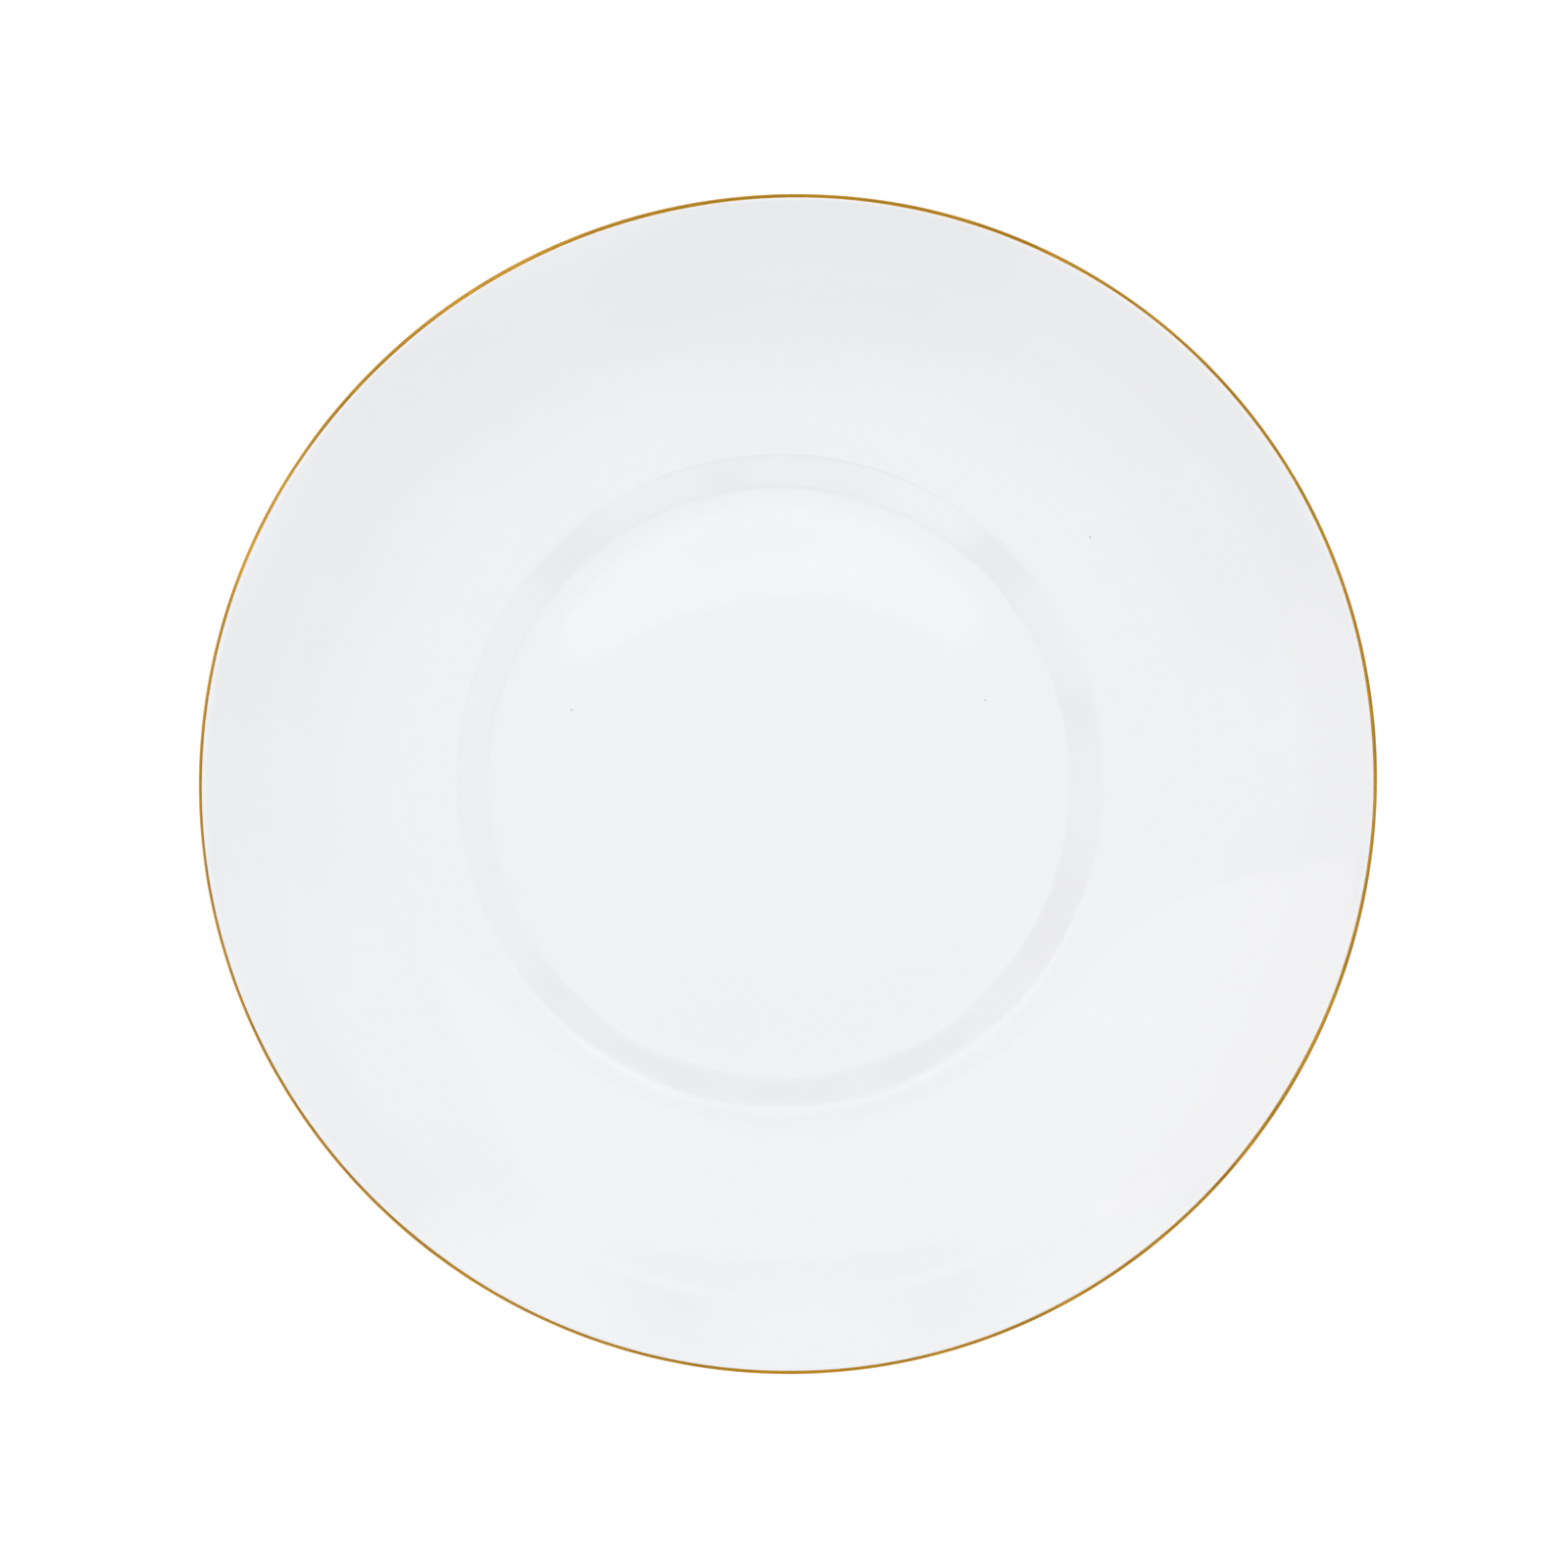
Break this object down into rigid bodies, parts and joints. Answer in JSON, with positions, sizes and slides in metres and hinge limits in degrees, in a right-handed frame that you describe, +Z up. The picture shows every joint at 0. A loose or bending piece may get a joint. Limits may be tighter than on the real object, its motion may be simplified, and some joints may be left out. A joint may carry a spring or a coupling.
{
  "type": "dinner plate",
  "caption": "Round rimless dinner plate with a gently domed well, a raised verge, a rising flank and a foot ring, in white porcelain with a gold lip.",
  "frame": {"origin": "centre of the circle that the foot ring stands on, at table height", "axes": "+Z up along the plate's axis; +X and +Y any two square directions, because the plate is round"},
  "size_m": [0.27, 0.27, 0.0245],
  "materials": {
    "porcelain_body": "fired unglazed porcelain, fine matt grain, seen only on the standing edge of the foot ring",
    "glaze": "clear gloss feldspathic glaze over white porcelain, faintly cool",
    "fired_gold": null
  },
  "bodies": {
    "root": {"porcelain_body": "porcelain_body", "face_glaze": "glaze", "underside_glaze": "glaze", "foot_recess_glaze": "glaze", "gold_lip_band": "fired_gold"}
  },
  "joints": []
}
